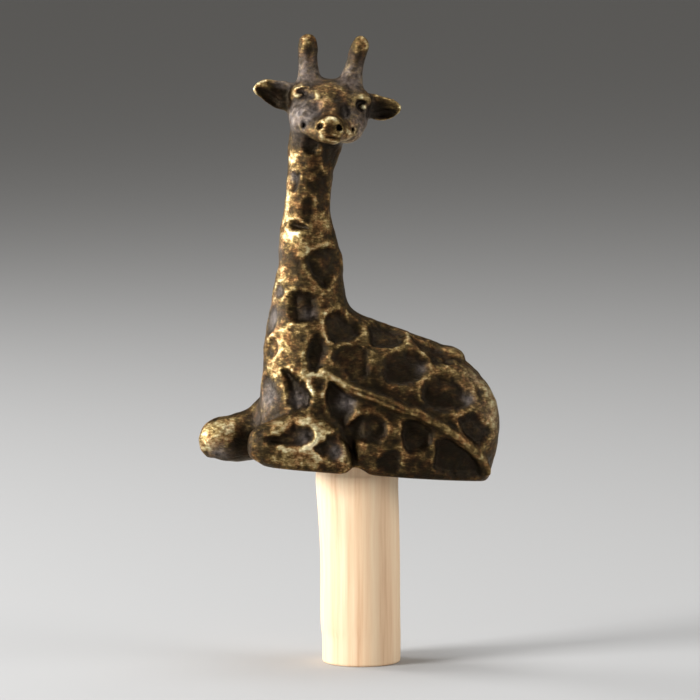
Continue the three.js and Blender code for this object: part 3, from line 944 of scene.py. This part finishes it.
def side_patches(points, normals, side):
    """One side's coat, patch by patch: its depth, how far each vertex is inside its outline, and how
    squarely the vertex faces that side."""
    facing = smoothstep(*FACING, -(normals @ (COAT_VIEW * (1, -side, 1))))
    place = on_coat_plane(points, side) + sum(wander(points, *layer) for layer in OUTLINE_WANDER)
    if side > 0:
        place = place - FAR_COAT_SHIFT * (points[:, 2:] < FAR_COAT_SHIFT_BELOW)
    for depth, outline in NEAR_COAT.values():
        yield depth, depth_inside(place, rounded(outline)), facing


def edge_patches(points):
    """The patches that wrap the edges between the two sides, in the same form."""
    place = points + wander(points, *EDGE_WANDER)
    for x, y, z, radius, depth in EDGE_COAT:
        yield depth, radius - np.linalg.norm(place - (x, y, z), axis=1), 1.0


def coat_relief(points, normals):
    """How deep the coat is pressed at each vertex, and how near it is to a crest and to a patch's rim."""
    far_outside = -9.0
    depth = np.zeros(len(points))
    nearest = np.full(len(points), far_outside)
    second = np.full(len(points), far_outside)
    patches = [*side_patches(points, normals, -1), *side_patches(points, normals, 1), *edge_patches(points)]
    for patch_depth, inside, facing in patches:
        wall_end = WALL_INSIDE + WALL_PER_DEPTH * patch_depth
        depth = np.maximum(depth, patch_depth * smoothstep(-WALL_OUTSIDE, wall_end, inside) * facing)
        inside = np.where(np.asarray(facing) > 0.3, inside, far_outside)
        second = np.maximum(second, np.minimum(nearest, inside))
        nearest = np.maximum(nearest, inside)
    crest = bell(nearest - second, CREST_WIDTH) * smoothstep(*CREST_NEAR_PATCH, nearest)
    crest *= smoothstep(*CREST_FADES_UP, points[:, 2])
    rim = bell(nearest + RIM_OUTSIDE, RIM_WIDTH)
    return depth, crest, rim


def without_grid_steps(points, quads):
    """The raw surface made smooth: once on the head, whose features are small, and three times below it."""
    points = neighbour_mean(points, quads, 1)
    on_body = smoothstep(106, 100, points[:, 2])[:, None]
    return points + (neighbour_mean(points, quads, 2) - points) * on_body


def left_plain(points):
    """Whether each vertex is on the flat underside or in the holes above it, where nothing is pressed in."""
    underneath = (points[:, 2] < 0.3) & (points[:, 0] > -36)
    from_axis = np.linalg.norm((points - SOCKET_MIDDLE) * (1, 1, 0), axis=1)
    return underneath | (from_axis < SOCKET_RADIUS + 0.5) & (points[:, 2] < 40)


def standing_out(points, quads, normals, rounds):
    """How far each vertex stands out from its mean over this many rounds of neighbours 0.45 mm apart."""
    count = max(1, round(rounds * (0.45 / VOXEL) ** 2))
    return np.einsum("ij,ij->i", points - neighbour_mean(points, quads, count), normals)


def wear_from_relief(points, quads):
    """The wear that comes from fine and broad ridges and hollows."""
    normals = vertex_normals(points, quads)
    fine = standing_out(points, quads, normals, 10)
    broad = standing_out(points, quads, normals, 60)
    of_broad = np.where(broad > 0, WEAR_OF_BROAD_RIDGE, WEAR_OF_BROAD_HOLLOW)
    return WEAR_LEVEL + WEAR_OF_FINE_RELIEF * fine + of_broad * broad


def finish_surface(points, quads):
    """Presses the coat and the cast texture into the surface, and works out its finish."""
    points = without_grid_steps(points, quads)
    normals = vertex_normals(points, quads)
    plain = left_plain(points)
    on_head = (points[:, 2] > 104.5) | ((points[:, 2] > 99) & (points[:, 1] < -12))
    coated = ~(on_head | plain)
    on_tail, groove = tail_and_groove(points)
    depth, crest, rim = (value * coated * (1 - on_tail) for value in coat_relief(points, normals))
    lumps = layers_of_noise(points, LUMPS) * (1 - LUMPS_LOST_ON_TAIL * on_tail)
    raised = CREST_HEIGHT * crest + RIM_HEIGHT * rim - depth + lumps - GROOVE_DEPTH * groove
    made = points + normals * np.where(plain, 0, raised)[:, None]

    wear_and_shade = wear_from_relief(made, quads)
    wear_and_shade += WEAR_OF_CREST * crest + WEAR_OF_TAIL * on_tail + WEAR_OF_GROOVE * groove
    wear_and_shade += WEAR_OF_DEPTH * np.minimum(depth, 1.6)
    wear_and_shade += layers_of_noise(points, UNEVEN_WEAR)
    wear_and_shade += amount(points, RUBBED)
    wear_and_shade += WEAR_OF_LOWER_EDGE * smoothstep(*LOWER_EDGE, points[:, 2])
    # Painted shade with less wear: the bright ridges behind the neck, on the side away from the key lamp, are
    # dimmed.
    rump_wear_and_shade = smoothstep(-16, -2, points[:, 0]) * smoothstep(100, 90, points[:, 2])
    wear_and_shade -= RUMP_WEAR_AND_SHADE_LOSS * rump_wear_and_shade * np.maximum(wear_and_shade - RUMP_WEAR_AND_SHADE_ABOVE, 0)
    # The grey attribute holds the metal left smooth and a painted sheen on patch walls that face the key
    # lamp.
    attributes = {"wear_and_shade": wear_and_shade, "bare_and_sheen": amount(points, BARE_AND_SHEEN), "smooth": on_tail}
    return made, {name: np.clip(value, 0, 1) for name, value in attributes.items()}


def mesh_object(name, points, faces, attributes=None):
    """A smooth mesh object in the row's frame from points in millimetres."""
    mesh = bpy.data.meshes.new(name)
    mesh.from_pydata((points * MM).tolist(), [], faces.tolist())
    for key, values in (attributes or {}).items():
        layer = mesh.attributes.new(key, "FLOAT", "POINT")
        layer.data.foreach_set("value", values.astype(np.float32))
    mesh.polygons.foreach_set("use_smooth", np.ones(len(mesh.polygons), bool))
    mesh.update()
    made = bpy.data.objects.new(name, mesh)
    bpy.context.scene.collection.objects.link(made)
    return made


def build_giraffe():
    """The casting as one mesh, in place of the CAD's."""
    points, quads = model_giraffe().surface()
    points, attributes = finish_surface(points, quads)
    giraffe = mesh_object("giraffe", moved(points, ON_DOWEL), quads, attributes)
    giraffe.data.materials.append(brass_material())
    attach(giraffe, "root")
    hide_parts("giraffe_casting")


# ---- The dowel ----

CUT_END_RADIUS = 12.4

# The dowel's side, trimmed by hand, from its cut end up: (height, offset along X, radius).
DOWEL = [
    (DOWEL_CHAMFER, 0, CUT_END_RADIUS),
    (8, 0, 12.45),
    (14, -0.3, 12.65),
    (33, -0.4, 12.6),
    (45, -0.8, 12.75),
    (55, -1.3, 12.95),
    (UNDERSIDE_HEIGHT - 2, TENON_OFFSET, 13.05),
    (UNDERSIDE_HEIGHT + 2, TENON_OFFSET, TENON_RADIUS),
    (DOWEL_TOP - DOWEL_CHAMFER, TENON_OFFSET, TENON_RADIUS),
]

# The knife's marks, as noise: (how much longer they are along the dowel, size, seed, share of the radius).
TRIMMING = [(9, 6, 31, 0.008), (40, 0.5, 32, 0.0015)]


def trimmed(circle, height):
    """The share of its radius that each point of a ring at this height has, after the knife."""
    share = np.ones(len(circle))
    for stretch, size, seed, reach in TRIMMING:
        place = circle * 12 + (0, 0, height / stretch)
        share += reach * noise(place, size, seed)
    return share[:, None]


def dowel_rings(around):
    """The dowel's rings from the middle of its cut end, up its side and down into the stud's hole."""
    circle = circle_points(around)

    def ring(radius, offset, height):
        return circle * radius + (offset, 0, height)

    rings = [ring(radius, 0, 0) for radius in (0.5, 4, 8, 11)]
    for share in np.linspace(0, 1, 6):
        turn = share * math.pi / 2
        radius = CUT_END_RADIUS - DOWEL_CHAMFER * (1 - math.sin(turn))
        rings.append(ring(radius, 0, DOWEL_CHAMFER * (1 - math.cos(turn))))
    for height, offset, radius in smooth_rows(DOWEL, 24)[1:]:
        if height < UNDERSIDE_HEIGHT:
            radius = radius * trimmed(circle, height)
        rings.append(ring(radius, offset, height))
    rings.append(ring(TENON_RADIUS - DOWEL_CHAMFER, TENON_OFFSET, DOWEL_TOP))
    rings.append(ring(STUD_HOLE_RADIUS, TENON_OFFSET, DOWEL_TOP))
    rings.append(ring(STUD_HOLE_RADIUS, TENON_OFFSET, STUD_HOLE_BOTTOM))
    return np.array(rings)


def build_dowel():
    """The dowel, in place of the CAD's."""
    points, triangles = rings_mesh(dowel_rings(192))
    dowel = mesh_object("dowel", points, triangles)
    dowel.data.materials.append(wood_material())
    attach(dowel, "root")
    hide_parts("wooden_dowel")


# ---- Materials ----


class Nodes:
    """A short way to build a node material."""

    def __init__(self, name):
        self.material = bpy.data.materials.new(name)
        self.material.use_nodes = True
        self.tree = self.material.node_tree
        self.shader = self.tree.nodes["Principled BSDF"]

    def feed(self, socket, value):
        """Gives a socket another socket's output, or a value of its own."""
        if isinstance(value, bpy.types.NodeSocket):
            self.tree.links.new(value, socket)
        else:
            socket.default_value = value

    def add(self, kind, inputs, **settings):
        """A new node with these settings, whose inputs are fed by name or number."""
        node = self.tree.nodes.new(kind)
        for key, value in settings.items():
            setattr(node, key, value)
        for key, value in inputs.items():
            self.feed(node.inputs[key], value)
        return node

    def attribute(self, name):
        return self.add("ShaderNodeAttribute", {}, attribute_name=name).outputs["Fac"]

    def place(self, scale=(1, 1, 1)):
        """The object's own coordinates in millimetres, multiplied by scale."""
        coordinates = self.add("ShaderNodeTexCoord", {}).outputs["Object"]
        inputs = {"Vector": coordinates, "Scale": [s / MM for s in scale]}
        return self.add("ShaderNodeMapping", inputs).outputs["Vector"]

    def noise(self, vector, scale, detail=4, roughness=0.6):
        inputs = {"Vector": vector, "Scale": scale, "Detail": detail, "Roughness": roughness}
        return self.add("ShaderNodeTexNoise", inputs).outputs["Fac"]

    def math(self, operation, a, b, c=0.0):
        return self.add("ShaderNodeMath", {0: a, 1: b, 2: c}, operation=operation).outputs[0]

    def vary(self, value, pattern, strength):
        """The value, raised and lowered by a noise pattern whose middle is 0.5."""
        return self.math("MULTIPLY_ADD", self.math("SUBTRACT", pattern, 0.5), strength, value)

    def ramp(self, factor, stops):
        """A colour ramp from (place, colour) stops; a plain number is a grey."""
        node = self.add("ShaderNodeValToRGB", {"Fac": factor})
        elements = node.color_ramp.elements
        while len(elements) < len(stops):
            elements.new(0.5)
        for element, (place, colour) in zip(elements, stops):
            element.position = place
            grey = isinstance(colour, (int, float))
            element.color = (colour,) * 3 + (1,) if grey else (*colour, 1)
        return node.outputs["Color"]

    def mix(self, factor, a, b, blend="MIX"):
        """Two colours mixed. A Mix node's colours are its inputs 6 and 7, and its output 2."""
        node = self.add("ShaderNodeMix", {0: factor, 6: a, 7: b}, data_type="RGBA", blend_type=blend)
        return node.outputs[2]

    def bump(self, height, distance):
        """A bump whose full height is this many millimetres."""
        return self.add("ShaderNodeBump", {"Height": height, "Distance": distance * MM}).outputs["Normal"]

    def set(self, **values):
        """Feeds the shader's inputs, whose names have underscores here for spaces."""
        for name, value in values.items():
            self.feed(self.shader.inputs[name.replace("_", " ")], value)


def metal_colour(nodes, rubbed_and_shaded):
    """From the patina's near-black to pale gold, and reddish in places where it isn't rubbed bright."""
    metal = nodes.ramp(
        rubbed_and_shaded,
        [
            (0.0, (0.009, 0.006, 0.0027)),
            (0.25, (0.024, 0.016, 0.007)),
            (0.4, (0.055, 0.036, 0.015)),
            (0.52, (0.112, 0.072, 0.028)),
            (0.67, (0.3, 0.21, 0.088)),
            (0.83, (0.58, 0.49, 0.27)),
            (1.0, (0.88, 0.8, 0.49)),
        ],
    )
    clouds = nodes.noise(nodes.place(), 0.3, roughness=0.7)
    reddish = nodes.ramp(clouds, [(0.45, (1, 1, 0.9)), (0.62, (1.25, 0.78, 0.7))])
    redness = nodes.ramp(rubbed_and_shaded, [(0.6, 0.6), (0.8, 0.2)])
    return nodes.mix(redness, metal, reddish, "MULTIPLY")


def brass_material():
    """Cast brass, dark in its hollows, rubbed golden on its ridges, and grey where it was left smooth; the
    grey also paints a sheen on the patch walls that face the key lamp, and painted shade dims the ridges
    behind the neck.
    """
    nodes = Nodes("patinated brass")
    here = nodes.place()
    blotches = nodes.noise(here, 0.4, detail=3)
    mottle = nodes.noise(here, 0.6)
    grains = nodes.noise(nodes.place((0.65, 0.65, 1.5)), 1, detail=5, roughness=0.65)
    grain_strength = nodes.math("MULTIPLY_ADD", nodes.attribute("smooth"), -0.5, 0.9)
    # The wear attribute also carries painted shade behind the neck, on the side away from the key lamp.
    rubbed_and_shaded = nodes.vary(nodes.attribute("wear_and_shade"), grains, grain_strength)
    rubbed_and_shaded = nodes.vary(rubbed_and_shaded, blotches, 0.9)
    grey_stops = [(0.32, (0.045, 0.037, 0.036)), (0.5, (0.155, 0.13, 0.122)), (0.68, (0.3, 0.25, 0.21))]
    grey = nodes.ramp(mottle, grey_stops)
    bare_patches = nodes.ramp(blotches, [(0.35, 0.45), (0.55, 1)])
    bare_and_sheen = nodes.math("MULTIPLY", nodes.attribute("bare_and_sheen"), bare_patches)
    metallic = nodes.ramp(rubbed_and_shaded, [(0.0, 0.65), (0.6, 0.95)])
    nodes.set(Base_Color=nodes.mix(bare_and_sheen, metal_colour(nodes, rubbed_and_shaded), grey))
    nodes.set(Metallic=nodes.math("MULTIPLY", metallic, nodes.math("MULTIPLY_ADD", bare_and_sheen, -0.8, 1)))
    nodes.set(Roughness=nodes.ramp(rubbed_and_shaded, [(0.1, 0.33), (0.45, 0.48), (0.8, 0.36)]))
    nodes.set(Normal=nodes.bump(grains, 0.35), Specular_IOR_Level=0.25, Specular_Tint=(1, 0.87, 0.72, 1))
    return nodes.material


def wood_material():
    """Bare pale wood with straight grain up the dowel."""
    nodes = Nodes("pale wood")
    streaks = nodes.noise(nodes.place((1, 1, 0.03)), 0.7, detail=5)
    bands = nodes.noise(nodes.place((1, 1, 0.012)), 0.16, detail=3)
    figure = nodes.math("MULTIPLY_ADD", streaks, 0.5, nodes.math("MULTIPLY", bands, 0.5))
    colour = nodes.ramp(
        figure,
        [
            (0.3, (0.7, 0.42, 0.24)),
            (0.45, (0.86, 0.59, 0.36)),
            (0.6, (0.94, 0.72, 0.48)),
            (0.75, (0.97, 0.8, 0.57)),
        ],
    )
    nodes.set(Base_Color=colour, Roughness=0.62, Normal=nodes.bump(streaks, 0.08))
    return nodes.material


def glue_material():
    """Cured glue, a cloudy amber."""
    nodes = Nodes("cured glue")
    cloud = nodes.noise(nodes.place(), 0.5, detail=3)
    colour = nodes.ramp(cloud, [(0.3, (0.55, 0.45, 0.24)), (0.7, (0.7, 0.6, 0.38))])
    nodes.set(Base_Color=colour, Roughness=0.35)
    return nodes.material


def steel_material():
    """Plated steel, slightly uneven."""
    nodes = Nodes("plated steel")
    cloud = nodes.noise(nodes.place((1, 1, 4)), 0.6, detail=3)
    nodes.set(Base_Color=nodes.ramp(cloud, [(0.3, (0.5, 0.5, 0.52)), (0.7, (0.66, 0.66, 0.67))]))
    nodes.set(Metallic=1.0, Roughness=nodes.ramp(cloud, [(0.3, 0.28), (0.7, 0.42)]))
    return nodes.material


def dress_frame_node(name, material):
    """Gives a CAD node that is shown as it is its own material."""
    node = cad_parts[name]
    node.data.materials.clear()
    node.data.materials.append(material)


# ---- Camera, stage and light ----

VIEW_AZIMUTH = math.radians(-12)
VIEW_ELEVATION = math.radians(6)
VIEW_DISTANCE = 1600  # from the dowel's axis
VIEW_WIDTH = 220.9  # what the picture spans at the dowel's axis
VIEW_SHIFT = -3.6  # the picture's middle, across from the dowel's axis
VIEW_HEIGHT = 98.75  # and above its cut end, as seen

FLOOR_REACH = 20000

# The soft square lamps, all pointed at LAMPS_AIM: (place, size, power).
LAMPS_AIM = (0, 0, 120)
LAMPS = {
    "key": ((-1250, -330, 480), 450, 24),
    "fill": ((1150, -620, 520), 700, 7.3),
    "top": ((100, 150, 1500), 900, 10),
    "rim": ((-1000, 750, 420), 600, 12),
}


def add_camera():
    """A long lens at the photograph's viewing angle."""
    right = Vector((math.cos(VIEW_AZIMUTH), math.sin(VIEW_AZIMUTH), 0))
    level = Vector((-math.sin(VIEW_AZIMUTH), math.cos(VIEW_AZIMUTH), 0))
    ahead = level * math.cos(VIEW_ELEVATION) - Vector((0, 0, math.sin(VIEW_ELEVATION)))
    up = right.cross(ahead)
    target = right * VIEW_SHIFT + Vector((0, 0, VIEW_HEIGHT / math.cos(VIEW_ELEVATION)))
    turn = Matrix((right, up, -ahead)).transposed().to_4x4()
    camera = bpy.data.objects.new("camera", bpy.data.cameras.new("camera"))
    camera.matrix_world = Matrix.Translation((target - ahead * VIEW_DISTANCE) * MM) @ turn
    camera.data.angle = 2 * math.atan(VIEW_WIDTH / 2 / VIEW_DISTANCE)
    camera.data.clip_start = 0.05
    camera.data.clip_end = 100
    bpy.context.scene.collection.objects.link(camera)
    bpy.context.scene.camera = camera


def add_floor():
    """A plain pale floor under the dowel's cut end."""
    corners = np.array([(-1, -1, 0), (1, -1, 0), (1, 1, 0), (-1, 1, 0)])
    floor = mesh_object("floor", corners * FLOOR_REACH, np.array([(0, 1, 2, 3)]))
    nodes = Nodes("pale floor")
    nodes.set(Base_Color=(0.5, 0.5, 0.5, 1), Roughness=0.9)
    floor.data.materials.append(nodes.material)


def add_lamp(name, place, size, power):
    lamp = bpy.data.objects.new(name, bpy.data.lights.new(name, "AREA"))
    lamp.data.size = size * MM
    lamp.data.energy = power
    lamp.location = Vector(place) * MM
    lamp.rotation_euler = (Vector(LAMPS_AIM) * MM - lamp.location).to_track_quat("-Z", "Y").to_euler()
    bpy.context.scene.collection.objects.link(lamp)


def add_studio():
    """Dim, slightly warm surroundings and the lamps."""
    world = bpy.data.worlds.new("studio")
    world.use_nodes = True
    background = world.node_tree.nodes["Background"]
    background.inputs["Color"].default_value = (0.9, 0.87, 0.82, 1)
    background.inputs["Strength"].default_value = 0.2
    bpy.context.scene.world = world
    bpy.context.scene.view_settings.view_transform = "Standard"
    for name, (place, size, power) in LAMPS.items():
        add_lamp(name, place, size, power)


add_camera()
add_floor()
add_studio()
build_giraffe()
build_dowel()
dress_frame_node("glue_cup", glue_material())
dress_frame_node("threaded_stud", steel_material())
